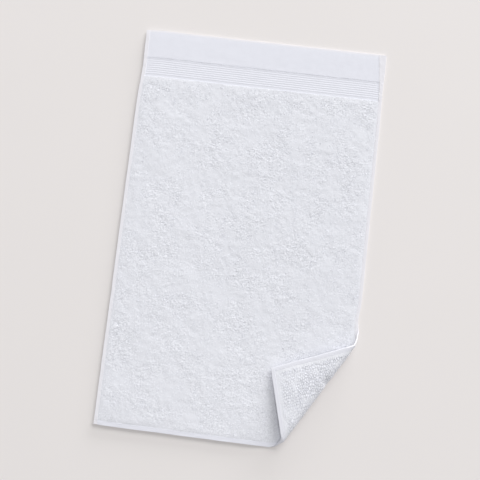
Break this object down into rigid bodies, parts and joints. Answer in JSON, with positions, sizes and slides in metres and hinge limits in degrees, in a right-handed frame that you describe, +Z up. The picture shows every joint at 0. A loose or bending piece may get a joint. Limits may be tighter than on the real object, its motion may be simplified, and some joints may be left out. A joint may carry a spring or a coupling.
{
  "type": "bath towel",
  "caption": "White terry bath towel lying flat, with a broad plain hem and ribbed border at one end and one corner turned over onto the face.",
  "frame": {"origin": "middle of the towel's outline, on the surface that it lies on", "axes": "+X across the towel, +Y along it towards the end with the broad hem and ribbed border, +Z up out of its face"},
  "size_m": [0.74, 1.2, 0.0329],
  "materials": {
    "terry": "matt white cotton terry with looped pile"
  },
  "bodies": {
    "root": {"towel": "terry"}
  },
  "joints": []
}
